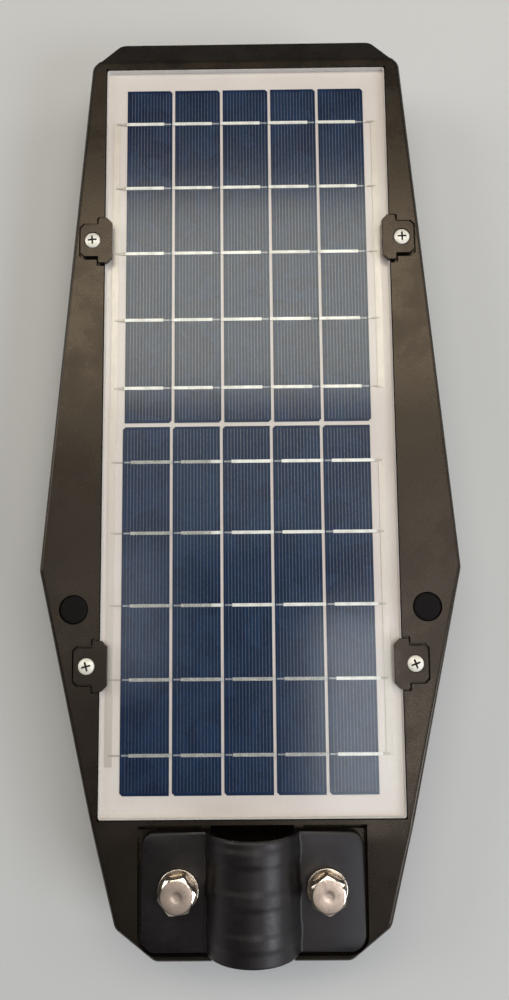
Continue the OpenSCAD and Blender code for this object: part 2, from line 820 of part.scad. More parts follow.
module sensor_dome() {
    color([0.9, 0.9, 0.88]) translate([0, sensor_y, dome_z]) difference() {
        union() {
            sphere(r = dome_r);
            cylinder(r = dome_r, h = 4);
            translate([0, 0, floor_t]) cylinder(r = dome_flange_r, h = dome_flange_t);
        }
        sphere(r = dome_r - dome_t);
        cylinder(r = dome_r - dome_t, h = 20);
    }
}

module sensor_retainer() {
    color("dimgray") translate([0, sensor_y, dome_z + floor_t + dome_flange_t]) difference() {
        cylinder(r = 15.5, h = board_z - dome_z - floor_t - dome_flange_t);
        translate([0, 0, -1]) cylinder(r = 12, h = 10);
    }
}

module light_pipes() {
    color([0.9, 0.95, 0.9, 0.6]) for (x = light_pipe_xs)
        post(x, sensor_y, light_pipe_r, floor_z - 0.3, board_z - 0.6);
}

module switch_body() {
    color([0.2, 0.2, 0.2]) translate([switch_x, sensor_y, floor_z]) difference() {
        union() {
            translate([0, 0, -1.5]) cylinder(r = 8, h = 1.5);
            cylinder(r = 6, h = 6);
            translate([-6, -6, 6]) cube([12, 12, 7.5]);
        }
        translate([0, 0, -2]) cylinder(r = button_r + button_gap, h = 7 + button_travel);
    }
}

module switch_button() {
    color([0.6, 0.08, 0.06]) translate([switch_x, sensor_y, floor_z - 1.5 - button_h])
        cylinder(r = button_r, h = button_h + 5);
}

module switch_nut() {
    color("silver") translate([switch_x, sensor_y, floor_top_z]) difference() {
        cylinder(r = 8 / cos(30), h = 2.5, $fn = 6);
        translate([0, 0, -1]) cylinder(r = 6.05, h = 5);
    }
}

// Lies in a groove that the flange of the switch presses against the floor
module switch_o_ring() {
    color("black") translate([switch_x, sensor_y, floor_z - 0.6])
        rotate_extrude() translate([8.7, 0]) circle(r = 0.6);
}

// ---- Battery ----

module battery_cell(x) {
    color("royalblue") bar_y(battery_r, battery_y, battery_y + battery_l, x, battery_z);
}

module battery_tabs() {
    color("silver") for (y = [battery_y - 0.5, battery_y + battery_l + 0.1])
        block(-33, 33, y, y + 0.4, battery_z - 4, battery_z + 4);
}

module battery_protection_board() {
    y = battery_y + battery_l + 1.2;
    color("darkgreen") block(-30, 30, y, y + 1.2, battery_z - 9, battery_z + 8);
}

module battery_strap() {
    foot_x = strap_x + 13;
    color("silver") difference() {
        translate([0, strap_y - strap_w / 2, 0]) union() {
            left_and_right() {
                block(strap_x, foot_x, 0, strap_w, floor_top_z, floor_top_z + strap_t);
                block(strap_x, strap_x + strap_t, 0, strap_w, floor_top_z, strap_top_z + strap_t);
            }
            block(-strap_x - strap_t, strap_x + strap_t, 0, strap_w, strap_top_z, strap_top_z + strap_t);
        }
        left_and_right() post(strap_x + 6.5, strap_y, 1.6, -BIG, 0);
    }
}

module strap_screws() {
    color("silver") left_and_right()
        screw(strap_x + 6.5, strap_y, floor_top_z + strap_t, 2.6, small_screw_r, small_head_r,
            small_head_t, -1);
}

// ---- Leads ----

// A smooth curve through the points of a route, with wire_steps pieces from point to point
function curve_point(a, b, c, d, t) =
    0.5 * (2 * b + (c - a) * t + (2 * a - 5 * b + 4 * c - d) * t * t + (3 * b - a - 3 * c + d) * t * t * t);

function smooth(p) = concat(
    [for (i = [0:len(p) - 2], k = [0:wire_steps - 1])
        curve_point(p[max(i - 1, 0)], p[i], p[i + 1], p[min(i + 2, len(p) - 1)], k / wire_steps)],
    [p[len(p) - 1]]);

// The ring of points round one place of a route that never runs along X
function wire_ring(p, i) =
    let (
        t = p[min(i + 1, len(p) - 1)] - p[max(i - 1, 0)],
        side = cross(t, [1, 0, 0]),
        u = side / norm(side),
        v = cross(t, u) / norm(t))
    [for (k = [0:wire_sides - 1])
        p[i] + wire_r * (cos(360 * k / wire_sides) * u + sin(360 * k / wire_sides) * v)];

module wire(route) {
    p = smooth(route);
    n = len(p);
    s = wire_sides;
    polyhedron(
        points = [for (i = [0:n - 1]) each wire_ring(p, i)],
        faces = concat(
            [[for (k = [s - 1:-1:0]) k]],
            [for (i = [0:n - 2], k = [0:s - 1])
                [i * s + k, i * s + (k + 1) % s, (i + 1) * s + (k + 1) % s, (i + 1) * s + k]],
            [[for (k = [0:s - 1]) (n - 1) * s + k]]));
}

module wire_pair(route, second_colour) {
    color("firebrick") translate([-pair_dx / 2, 0, 0]) wire(route);
    color(second_colour) translate([pair_dx / 2, 0, 0]) wire(route);
}

top_housing();
bottom_housing();
housing_seal();
panel_glass();
cell_group(far_group_x, panel_y + group_y, 0);  // upper_cells
cell_group(near_group_x, panel_y - group_y, 1);  // lower_cells
tabbing_ribbons();
bus_ribbons();
panel_backsheet();
panel_foam_tape();
panel_terminal_box();
panel_clip(-1, clip_ys[0]);  // panel_clip_far_left
panel_clip(1, clip_ys[0]);  // panel_clip_far_right
panel_clip(-1, clip_ys[1]);  // panel_clip_near_left
panel_clip(1, clip_ys[1]);  // panel_clip_near_right
clip_screws();
mirror([1, 0, 0]) plug();  // plug_left
plug();  // plug_right
flank_screws();
shell_screw_set();  // shell_screws
clamp_plate();
clamp_bolt(-bolt_x, 8);  // clamp_bolt_left
clamp_bolt(bolt_x, 33);  // clamp_bolt_right
flat_washers();
spring_washers();
clamp_nuts();
led_board();
led_chips();
lens_plate(lens_ys[0]);  // lens_plate_near
lens_plate(lens_ys[1]);  // lens_plate_far
lens_gasket(lens_ys[0]);  // lens_gasket_near
lens_gasket(lens_ys[1]);  // lens_gasket_far
led_board_screws();
controller_board();
power_inductor();
buffer_capacitors();
controller_chips();
wire_connectors();
controller_screws();
pir_sensor();
sensor_dome();
sensor_retainer();
light_pipes();
battery_cell(battery_xs[0]);  // battery_cell_left
battery_cell(battery_xs[1]);  // battery_cell_middle
battery_cell(battery_xs[2]);  // battery_cell_right
battery_tabs();
battery_protection_board();
battery_strap();
strap_screws();
switch_body();
switch_button();
switch_nut();
switch_o_ring();
wire_pair(panel_route, [0.1, 0.1, 0.1]);  // panel_lead
wire_pair(battery_route, [0.1, 0.1, 0.1]);  // battery_lead
wire_pair(led_route, "white");  // led_lead
wire_pair(switch_route, "gold");  // switch_lead
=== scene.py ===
"""Solar street lamp: the looks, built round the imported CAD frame.

Lengths are in metres, in the row frame: the origin is on the axis of the pole bore in line with the two
clamp bolts, +Y runs to the far end and +Z up through the panel. MM turns millimetres into metres.
"""

import json
import math

import bmesh
import bpy
from mathutils import Matrix, Vector
from mathutils.geometry import convex_hull_2d


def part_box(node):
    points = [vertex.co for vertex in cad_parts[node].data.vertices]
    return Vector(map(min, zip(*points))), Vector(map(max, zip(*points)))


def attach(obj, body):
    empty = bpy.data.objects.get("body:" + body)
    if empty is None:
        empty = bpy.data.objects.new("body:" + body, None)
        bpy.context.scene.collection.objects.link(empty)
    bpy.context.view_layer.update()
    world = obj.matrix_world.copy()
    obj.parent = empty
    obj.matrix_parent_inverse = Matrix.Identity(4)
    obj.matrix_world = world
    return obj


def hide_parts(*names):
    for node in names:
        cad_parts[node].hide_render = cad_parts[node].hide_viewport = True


MM = 0.001
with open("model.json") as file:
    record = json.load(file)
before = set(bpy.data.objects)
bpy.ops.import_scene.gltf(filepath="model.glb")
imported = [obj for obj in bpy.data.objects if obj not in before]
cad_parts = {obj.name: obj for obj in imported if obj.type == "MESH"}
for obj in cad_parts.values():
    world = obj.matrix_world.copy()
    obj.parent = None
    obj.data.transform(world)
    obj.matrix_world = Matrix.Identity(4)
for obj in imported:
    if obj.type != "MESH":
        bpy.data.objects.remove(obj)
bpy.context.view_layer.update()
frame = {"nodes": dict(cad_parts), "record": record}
nodes = frame["nodes"]
scene = bpy.context.scene

# Sizes repeated from the CAD source
STRIP_PITCH = 22.1 * MM
STRIP_W = 20.8 * MM
CELL_L = 157.75 * MM
CELLS_FROM_MIDDLE = 0.9 * MM
BUSBAR_PITCH = 31.35 * MM
BUSBAR_FROM_MIDDLE = 16.7 * MM
PANEL_Y = 196 * MM
PANEL_HALF_W, PANEL_HALF_L = 64 * MM, 167.5 * MM
BOLT_X = 30.75 * MM
CLIP_SCREW_X = 69.6 * MM
BORE_R = 17.5 * MM
REST_Z = -38 * MM


# ---- Material nodes ----


class Graph:
    """One procedural material: small calls that add a node and return its output."""

    def __init__(self, name):
        self.material = bpy.data.materials.new(name)
        self.material.use_nodes = True
        self.tree = self.material.node_tree
        self.tree.nodes.clear()
        self.out = self.tree.nodes.new("ShaderNodeOutputMaterial")
        self.place = self.add("ShaderNodeTexCoord").outputs["Object"]

    def add(self, kind, **settings):
        node = self.tree.nodes.new(kind)
        for key, value in settings.items():
            setattr(node, key, value)
        return node

    def feed(self, socket, value):
        if isinstance(value, bpy.types.NodeSocket):
            self.tree.links.new(value, socket)
        elif isinstance(value, (tuple, list)) and len(value) == 3 and socket.type == "RGBA":
            socket.default_value = (*value, 1)
        else:
            socket.default_value = value

    def maths(self, operation, a, b=0.0, c=0.0):
        node = self.add("ShaderNodeMath", operation=operation)
        for socket, value in zip(node.inputs, (a, b, c)):
            self.feed(socket, value)
        return node.outputs[0]

    def plus(self, a, b):
        return self.maths("ADD", a, b)

    def minus(self, a, b):
        return self.maths("SUBTRACT", a, b)

    def times(self, a, b):
        return self.maths("MULTIPLY", a, b)

    def off(self, value, middle):
        """Distance of value from middle."""
        return self.maths("ABSOLUTE", self.minus(value, middle))

    def comb(self, value, step, first):
        """Distance of a positive value from the nearest line at first, first + step and so on."""
        return self.off(self.maths("MODULO", value, step), first)

    def axis(self, letter, place=None):
        node = self.add("ShaderNodeSeparateXYZ")
        self.feed(node.inputs[0], place or self.place)
        return node.outputs[letter]

    def joined(self, x, y, z):
        node = self.add("ShaderNodeCombineXYZ")
        for socket, value in zip(node.inputs, (x, y, z)):
            self.feed(socket, value)
        return node.outputs[0]

    def scaled(self, scale):
        node = self.add("ShaderNodeVectorMath", operation="MULTIPLY")
        self.feed(node.inputs[0], self.place)
        node.inputs[1].default_value = scale
        return node.outputs[0]

    def noise(self, scale, detail=2.0, rough=0.5, place=None, distortion=0.0):
        node = self.add("ShaderNodeTexNoise")
        self.feed(node.inputs["Vector"], place or self.place)
        self.feed(node.inputs["Scale"], scale)
        self.feed(node.inputs["Detail"], detail)
        self.feed(node.inputs["Roughness"], rough)
        self.feed(node.inputs["Distortion"], distortion)
        return node.outputs[0]

    def grains(self, scale, place=None, feature="F1", output="Color"):
        node = self.add("ShaderNodeTexVoronoi", feature=feature)
        self.feed(node.inputs["Vector"], place or self.place)
        self.feed(node.inputs["Scale"], scale)
        return node.outputs[output]

    def span(self, value, low, high, to_low=0.0, to_high=1.0):
        """value from low..high to to_low..to_high, held at the ends and smooth between them."""
        node = self.add("ShaderNodeMapRange", interpolation_type="SMOOTHSTEP", clamp=True)
        for socket, v in zip(node.inputs, (value, low, high, to_low, to_high)):
            self.feed(socket, v)
        return node.outputs[0]

    def within(self, value, low, high, edge):
        """1 between low and high and 0 beyond them, with edges of the given width inside them."""
        return self.times(self.span(value, low, low + edge), self.span(value, high - edge, high, 1, 0))

    def front(self):
        """1 on front faces and 0 on back faces."""
        return self.minus(1.0, self.add("ShaderNodeNewGeometry").outputs["Backfacing"])

    def mix(self, share, a, b):
        node = self.add("ShaderNodeMix", data_type="RGBA")
        self.feed(node.inputs[0], share)
        self.feed(node.inputs[6], a)
        self.feed(node.inputs[7], b)
        return node.outputs[2]

    def bump(self, height, distance, strength=1.0, normal=None):
        node = self.add("ShaderNodeBump")
        self.feed(node.inputs["Strength"], strength)
        self.feed(node.inputs["Distance"], distance)
        self.feed(node.inputs["Height"], height)
        if normal:
            self.feed(node.inputs["Normal"], normal)
        return node.outputs[0]

    def principled(self, colour, roughness, normal=None, **others):
        node = self.add("ShaderNodeBsdfPrincipled")
        self.feed(node.inputs["Base Color"], colour)
        self.feed(node.inputs["Roughness"], roughness)
        if normal:
            self.feed(node.inputs["Normal"], normal)
        for key, value in others.items():
            self.feed(node.inputs[key.replace("_", " ")], value)
        return node.outputs[0]

    def shader_mix(self, share, a, b):
        node = self.add("ShaderNodeMixShader")
        self.feed(node.inputs[0], share)
        self.feed(node.inputs[1], a)
        self.feed(node.inputs[2], b)
        return node.outputs[0]

    def done(self, shader):
        self.tree.links.new(shader, self.out.inputs["Surface"])
        return self.material


def moulded(name, colour, lighter, roughness, grain=1500, depth=0.012 * MM, tint=(1, 1, 1)):
    """Moulded plastic with a spark-eroded texture, uneven gloss and faint handling marks."""
    g = Graph(name)
    broad = g.noise(9, 3)
    smudge = g.noise(55, 4, 0.6)
    fine = g.noise(grain, 2)
    pits = g.grains(grain * 0.6, output="Distance")
    tone = g.mix(g.span(broad, 0.35, 0.7), colour, lighter)
    tone = g.mix(g.span(fine, 0.42, 0.7, 0, 0.35), tone, lighter)
    gloss = g.plus(g.span(smudge, 0.35, 0.7, roughness - 0.05, roughness + 0.07),
                   g.span(fine, 0.3, 0.7, -0.03, 0.03))
    height = g.plus(fine, g.times(pits, 0.7))
    return g.done(g.principled(tone, gloss, g.bump(height, depth, 0.8), Specular_Tint=tint))


def metal(name, colour, worn, roughness, brush=(1, 1, 1), scale=900, depth=0.006 * MM, metallic=1.0):
    """Plain or plated metal with a brushed or rolled grain, stains and tiny dents."""
    g = Graph(name)
    grain = g.noise(scale, 3, 0.6, g.scaled(brush))
    stain = g.noise(260, 4, 0.65)
    tone = g.mix(g.span(stain, 0.4, 0.75), colour, worn)
    gloss = g.plus(g.span(stain, 0.35, 0.75, roughness - 0.05, roughness + 0.12),
                   g.span(grain, 0.3, 0.7, -0.04, 0.05))
    return g.done(g.principled(tone, gloss, g.bump(grain, depth, 0.7), Metallic=metallic))


def dusty(g, tint, dust_colour, least, most):
    """A clear sheet of a faint tint with thin dust on its front faces."""
    through = g.add("ShaderNodeBsdfTransparent")
    through.inputs["Color"].default_value = (*tint, 1)
    dust = g.add("ShaderNodeBsdfDiffuse")
    dust.inputs["Color"].default_value = (*dust_colour, 1)
    share = g.times(g.span(g.noise(40, 4, 0.6), 0.35, 0.8, least, most), g.front())
    return g.shader_mix(share, through.outputs[0], dust.outputs[0])


def panel_front():
    """The panel's front sheet: tint and dust alone, because what lies under it carries the gloss."""
    g = Graph("panel_glass")
    return g.done(dusty(g, (0.97, 0.985, 0.98), (0.8, 0.78, 0.76), 0.001, 0.004))


def lens_plate():
    """Clear moulded plastic over the light chips: it mirrors by Fresnel on its front faces."""
    g = Graph("lens_clear")
    normal = g.bump(g.noise(300, 2), 0.01 * MM, 0.35)
    fresnel = g.add("ShaderNodeFresnel")
    fresnel.inputs["IOR"].default_value = 1.55
    g.feed(fresnel.inputs["Normal"], normal)
    shine = g.add("ShaderNodeBsdfAnisotropic")
    shine.inputs["Roughness"].default_value = 0.06
    shine.inputs["Color"].default_value = (1, 1, 1, 1)
    g.feed(shine.inputs["Normal"], normal)
    body = dusty(g, (0.96, 0.98, 0.98), (0.8, 0.82, 0.84), 0.02, 0.04)
    return g.done(g.shader_mix(g.times(fresnel.outputs[0], g.front()), body, shine.outputs[0]))


def glossy_front(g):
    """Settings of the panel's gloss, with the slight waviness of its front sheet."""
    waves = g.bump(g.noise(500, 2), 0.01 * MM, 0.35)
    return {"Coat_Weight": 1.0, "Coat_Roughness": 0.14, "Coat_Normal": waves}


def silicon(g, strip, seed):
    """Polycrystalline silicon: slanted grains of differing blue, and one tone for each strip."""
    wave = g.add("ShaderNodeTexNoise")
    g.feed(wave.inputs["Vector"], g.place)
    wave.inputs["Scale"].default_value = 90
    wobble = g.add("ShaderNodeVectorMath", operation="SCALE")
    g.feed(wobble.inputs[0], wave.outputs["Color"])
    wobble.inputs["Scale"].default_value = 6 * MM
    bent = g.add("ShaderNodeVectorMath", operation="ADD")
    g.feed(bent.inputs[0], g.place)
    g.feed(bent.inputs[1], wobble.outputs[0])
    flat = g.add("ShaderNodeVectorMath", operation="MULTIPLY")
    g.feed(flat.inputs[0], bent.outputs[0])
    flat.inputs[1].default_value = (1, 0.8, 0)
    large = g.axis("X", g.grains(130, flat.outputs[0]))
    small = g.axis("Y", g.grains(330, flat.outputs[0]))
    own = g.add("ShaderNodeTexWhiteNoise", noise_dimensions="1D")
    g.feed(own.inputs["W"], g.plus(strip, seed))
    tone = g.mix(g.span(large, 0, 1, 0, 1), (0.003, 0.011, 0.044), (0.007, 0.024, 0.076))
    tone = g.mix(g.span(small, 0.1, 0.9, 0, 0.4), tone, (0.010, 0.016, 0.052))
    tone = g.mix(g.times(own.outputs["Value"], 0.4), tone, (0.004, 0.029, 0.078))
    return tone, large


def solar_cell(name, group_x, side):
    """Blue strips of solar cell, with printed fingers along Y and thin busbars across.

    side is +1 for the far group, where the bare ends of the busbars are on the right, and -1 for the near
    group, where they are on the left.
    """
    g = Graph(name)
    group_y = PANEL_Y + side * (CELL_L / 2 + CELLS_FROM_MIDDLE)
    middle_busbar_y = PANEL_Y + side * (2 * BUSBAR_PITCH + BUSBAR_FROM_MIDDLE)
    y = g.axis("Y")
    from_left = g.minus(g.axis("X"), group_x - 2 * STRIP_PITCH - STRIP_W / 2)
    strip = g.maths("FLOOR", g.maths("DIVIDE", from_left, STRIP_PITCH))
    across = g.minus(from_left, g.times(strip, STRIP_PITCH))
    tone, large = silicon(g, strip, group_y * 100)
    # Fingers stop short of the strip's edges and ends
    finger_step, margin, end_margin = 1.44 * MM, 0.7 * MM, 1.1 * MM
    finger = g.comb(across, finger_step, finger_step / 2)
    ends = g.span(g.off(y, group_y), CELL_L / 2 - end_margin - 0.2 * MM, CELL_L / 2 - end_margin, 1, 0)
    printed = g.times(g.within(across, margin, STRIP_W - margin, 0.2 * MM), ends)
    lines = g.times(g.span(finger, 0.10 * MM, 0.22 * MM, 1, 0), printed)
    # Bare end of each busbar, beyond the ribbon
    if side > 0:
        bare = g.span(across, 15.5 * MM, 15.7 * MM)
    else:
        bare = g.span(across, 5 * MM, 5.2 * MM, 1, 0)
    row = g.comb(g.plus(g.off(y, middle_busbar_y), BUSBAR_PITCH / 2), BUSBAR_PITCH, BUSBAR_PITCH / 2)
    reach = g.within(across, 0.5 * MM, STRIP_W - 0.5 * MM, 0.1 * MM)
    bars = g.times(g.span(row, 0.32 * MM, 0.42 * MM, 1, 0), g.times(bare, reach))
    # Paste of fingers and busbars, unevenly worn
    wear = g.span(g.noise(900, 3), 0.3, 0.6, 0.5, 0.8)
    silver = g.times(g.maths("MAXIMUM", g.times(lines, 0.26), bars), wear)
    tone = g.mix(silver, tone, (0.46, 0.45, 0.47))
    gloss = g.span(large, 0, 1, 0.32, 0.40)
    return g.done(g.principled(tone, gloss, g.bump(silver, 0.02 * MM, 0.4), Metallic=g.times(lines, 0.85),
                               Specular_IOR_Level=0.08, **glossy_front(g)))


def turned_steel(name, roughness):
    """Bolt heads: the piece's own origin is on its axis, so the turning marks are rings."""
    g = Graph(name)
    x, y = g.axis("X"), g.axis("Y")
    radius = g.maths("SQRT", g.plus(g.times(x, x), g.times(y, y)))
    rings = g.noise(1.0, 3, 0.6, g.joined(g.times(radius, 4200), 0.0, 0.0))
    stain = g.noise(330, 4, 0.65)
    tone = g.mix(g.span(stain, 0.4, 0.72), (0.86, 0.69, 0.57), (0.55, 0.41, 0.33))
    tone = g.mix(g.span(rings, 0.35, 0.75, 0, 0.35), tone, (0.93, 0.80, 0.69))
    gloss = g.plus(g.span(stain, 0.35, 0.7, roughness, roughness + 0.14),
                   g.span(rings, 0.3, 0.7, -0.04, 0.05))
    return g.done(g.principled(tone, gloss, g.bump(rings, 0.012 * MM, 0.6), Metallic=1.0))


def sensor_lens():
    """Milky polyethylene with the facets of a Fresnel lens."""
    g = Graph("dome_plastic")
    facets = g.grains(430, feature="DISTANCE_TO_EDGE", output="Distance")
    # Facet edges are darker: painted shade in the grooves between the facets
    tone = g.mix(g.span(facets, 0.0, 0.06), (0.60, 0.60, 0.57), (0.84, 0.84, 0.80))
    return g.done(g.principled(tone, g.span(g.noise(200, 3), 0.3, 0.7, 0.28, 0.4),
                               g.bump(g.span(facets, 0, 0.08), 0.12 * MM, 0.7),
                               Subsurface_Weight=0.25, Subsurface_Scale=0.004))


def circuit_board(name, mask, track):
    """Solder mask over copper tracks that run along X in some patches and along Y in the others."""
    g = Graph(name)
    x = g.comb(g.plus(g.axis("X"), 1.0), 2.4 * MM, 1.2 * MM)
    y = g.comb(g.plus(g.axis("Y"), 1.0), 3.1 * MM, 1.5 * MM)
    along_x = g.maths("GREATER_THAN", g.axis("X", g.grains(85)), 0.5)
    line = g.plus(g.times(along_x, y), g.times(g.minus(1.0, along_x), x))
    tracks = g.span(line, 0.3 * MM, 0.42 * MM, 1, 0)
    gloss = g.span(g.noise(150, 2), 0.3, 0.7, 0.28, 0.4)
    return g.done(g.principled(g.mix(tracks, mask, track), gloss, g.bump(tracks, 0.03 * MM, 0.6)))


def wrapped(name, colour, darker, roughness, scale=400, specular=0.5):
    """Soft or shrunk skin: sleeve, rubber, insulation."""
    g = Graph(name)
    broad = g.noise(60, 3)
    fine = g.noise(scale, 3, 0.6)
    tone = g.mix(g.span(broad, 0.35, 0.7), colour, darker)
    gloss = g.span(fine, 0.3, 0.7, roughness - 0.06, roughness + 0.08)
    return g.done(g.principled(tone, gloss, g.bump(fine, 0.02 * MM, 0.5), Specular_IOR_Level=specular))


def backsheet_material():
    """Off-white laminate with a faint pink cast and a slightly mottled surface."""
    g = Graph("backsheet")
    cloud = g.noise(14, 3)
    fine = g.noise(700, 3, 0.6)
    tone = g.mix(g.span(cloud, 0.35, 0.7), (0.79, 0.67, 0.635), (0.85, 0.745, 0.70))
    tone = g.mix(g.span(fine, 0.4, 0.7, 0, 0.25), tone, (0.74, 0.62, 0.60))
    return g.done(g.principled(tone, g.span(fine, 0.3, 0.7, 0.45, 0.6), g.bump(fine, 0.01 * MM, 0.5),
                               Specular_IOR_Level=0.1, **glossy_front(g)))


def ribbon_material(name, bright, dull, metallic, tail):
    """Solder-dipped copper ribbon: bright, uneven and slightly wavy, and of another tone beyond the strips.
    """
    g = Graph(name)
    flow = g.noise(260, 3, 0.6)
    fine = g.noise(1500, 2)
    tone = g.mix(g.span(flow, 0.35, 0.7), bright, dull)
    outside = g.span(g.maths("ABSOLUTE", g.axis("X")), 55.2 * MM, 55.5 * MM)
    tone = g.mix(outside, tone, tail)
    gloss = g.span(flow, 0.3, 0.7, 0.4, 0.58)
    height = g.plus(flow, g.times(fine, 0.3))
    return g.done(g.principled(tone, gloss, g.bump(height, 0.05 * MM, 0.6), Metallic=metallic,
                               **glossy_front(g)))


# The record's material slots, by kind
moulded_slots = {
    "housing_plastic": dict(colour=(0.0075, 0.0058, 0.0047), lighter=(0.012, 0.0092, 0.0072),
                            roughness=0.29, depth=0.009 * MM, tint=(1, 0.82, 0.64)),
    "cover_plastic": dict(colour=(0.0085, 0.0068, 0.0058), lighter=(0.014, 0.0115, 0.0098), roughness=0.38,
                          grain=1200, tint=(1, 0.85, 0.7)),
    "clip_plastic": dict(colour=(0.0078, 0.006, 0.005), lighter=(0.0125, 0.0096, 0.0078), roughness=0.31,
                         grain=1900, depth=0.009 * MM, tint=(1, 0.82, 0.66)),
    "clamp_plastic": dict(colour=(0.0058, 0.0048, 0.0048), lighter=(0.0095, 0.0082, 0.0085), roughness=0.41,
                          grain=900, depth=0.02 * MM, tint=(1, 0.93, 0.93)),
    "component_black": dict(colour=(0.012, 0.012, 0.013), lighter=(0.02, 0.02, 0.02), roughness=0.4,
                            grain=2500),
    "ferrite": dict(colour=(0.035, 0.035, 0.038), lighter=(0.06, 0.06, 0.062), roughness=0.5, grain=1800),
    "connector_ivory": dict(colour=(0.66, 0.60, 0.46), lighter=(0.74, 0.69, 0.56), roughness=0.42),
    "switch_plastic": dict(colour=(0.012, 0.012, 0.012), lighter=(0.022, 0.022, 0.022), roughness=0.34,
                           grain=2200),
}
wrapped_slots = {
    "foam_tape": dict(colour=(0.012, 0.012, 0.012), darker=(0.02, 0.02, 0.02), roughness=0.85, scale=900),
    "potting": dict(colour=(0.012, 0.012, 0.012), darker=(0.022, 0.022, 0.022), roughness=0.35, scale=150),
    "plug_rubber": dict(colour=(0.0045, 0.0032, 0.0032), darker=(0.0075, 0.0055, 0.0055), roughness=0.6,
                        scale=800, specular=0.12),
    "seal_rubber": dict(colour=(0.10, 0.10, 0.10), darker=(0.14, 0.14, 0.14), roughness=0.6),
    "led_phosphor": dict(colour=(0.82, 0.70, 0.20), darker=(0.86, 0.78, 0.42), roughness=0.4, scale=900),
    "battery_sleeve": dict(colour=(0.012, 0.07, 0.30), darker=(0.02, 0.10, 0.38), roughness=0.28,
                           scale=120),
    "button_red": dict(colour=(0.42, 0.018, 0.012), darker=(0.30, 0.012, 0.01), roughness=0.32, scale=500),
    "lead_insulation": dict(colour=(0.40, 0.016, 0.012), darker=(0.30, 0.012, 0.01), roughness=0.45,
                            scale=500),
}
metal_slots = {
    # Plated screw heads in a pale cream that is mostly not metallic: painted reflection, standing in for
    # the plating's bright even shine
    "screw_steel": dict(colour=(0.93, 0.89, 0.79), worn=(0.76, 0.71, 0.61), roughness=0.46, scale=700,
                        metallic=0.25),
    "sensor_can": dict(colour=(0.80, 0.76, 0.66), worn=(0.6, 0.56, 0.46), roughness=0.3),
    "nickel": dict(colour=(0.72, 0.70, 0.66), worn=(0.55, 0.53, 0.5), roughness=0.34, brush=(1, 12, 1)),
    "strap_steel": dict(colour=(0.62, 0.62, 0.62), worn=(0.42, 0.42, 0.43), roughness=0.38,
                        brush=(12, 1, 1)),
}
slots = {
    "panel_glass": panel_front(),
    "tinned_ribbon": ribbon_material("tinned_ribbon", (0.90, 0.86, 0.83), (0.72, 0.68, 0.65), 0.3,
                                     (0.50, 0.44, 0.38)),
    "backsheet": backsheet_material(),
    "bolt_steel": turned_steel("bolt_steel", 0.32),
    "led_board_white": circuit_board("led_board_white", (0.74, 0.74, 0.72), (0.66, 0.66, 0.65)),
    "pcb_green": circuit_board("pcb_green", (0.008, 0.075, 0.026), (0.018, 0.13, 0.045)),
    "lens_clear": lens_plate(),
    "dome_plastic": sensor_lens(),
}
for make, looks in ((moulded, moulded_slots), (wrapped, wrapped_slots), (metal, metal_slots)):
    for name, look in looks.items():
        slots[name] = make(name, **look)

# Nodes whose look differs from their slot's
own_looks = {
    "upper_cells": solar_cell("solar_cell_far", group_x=-0.4 * MM, side=1),
    "lower_cells": solar_cell("solar_cell_near", group_x=-1.1 * MM, side=-1),
    "bus_ribbons": ribbon_material("bus_ribbon", (0.76, 0.665, 0.615), (0.66, 0.565, 0.51), 0.4,
                                   (0.72, 0.62, 0.565)),
}
# Second materials of pieces
plated_steel = metal("plated_steel", (0.88, 0.78, 0.66), (0.70, 0.58, 0.47), 0.15, scale=500,
                     depth=0.003 * MM)
# Dark metal for the washers' upper faces: painted shade, standing in for the shadow and dark reflection of
# the bolt heads
washer_painted_shade = metal("washer_painted_shade", (0.34, 0.28, 0.22), (0.22, 0.175, 0.135), 0.26, scale=500,
                    depth=0.004 * MM)
# Paler than the backsheet: a real sealed edge, coloured as a painted highlight of the glass edge
laminate_edge_painted_highlight = wrapped("laminate_edge_painted_highlight", (0.86, 0.80, 0.77), (0.80, 0.74, 0.71), 0.4, 500)
# Near-black for the inside of the screws' cross recesses: painted shade
recess_painted_shade = wrapped("recess_painted_shade", (0.012, 0.011, 0.010), (0.03, 0.027, 0.024), 0.6, 900)
black_insulation = wrapped("black_insulation", (0.012, 0.012, 0.012), (0.02, 0.02, 0.02), 0.45, 500)

for part in frame["record"]["subparts"]:
    mesh = nodes[part["node"]].data
    mesh.materials.clear()
    mesh.materials.append(own_looks.get(part["node"]) or slots[part["material_slot"]])


# ---- CAD nodes that stay ----


def smooth(mesh):
    for face in mesh.polygons:
        face.use_smooth = True


def soften(name, width):
    """Rounds a CAD node's edges and evens its shading, with modifiers alone."""
    obj = nodes[name]
    smooth(obj.data)
    weld = obj.modifiers.new("weld", "WELD")
    weld.merge_threshold = 0.002 * MM
    flats = obj.modifiers.new("flats", "DECIMATE")
    flats.decimate_type = "DISSOLVE"
    flats.angle_limit = math.radians(0.6)
    bevel = obj.modifiers.new("bevel", "BEVEL")
    bevel.limit_method = "ANGLE"
    bevel.angle_limit = math.radians(35)
    bevel.width = width
    bevel.segments = 3 if width > 0.5 * MM else 2
    bevel.use_clamp_overlap = True
    bevel.miter_outer = "MITER_ARC"
    bevel.harden_normals = False
    even = obj.modifiers.new("even", "WEIGHTED_NORMAL")
    even.mode = "FACE_AREA"
    even.weight = 100


for width, names in {
    0.2: ("sensor_dome", "light_pipes"),
    0.25: ("panel_glass",),
    0.3: ("top_housing", "switch_body"),
    0.35: ("panel_clip_far_left", "panel_clip_far_right", "panel_clip_near_left", "panel_clip_near_right",
           "shell_screws"),
    0.45: ("bottom_housing",),
    0.6: ("switch_button",),
}.items():
    for name in names:
        soften(name, width * MM)


# ---- Pieces in mesh code ----


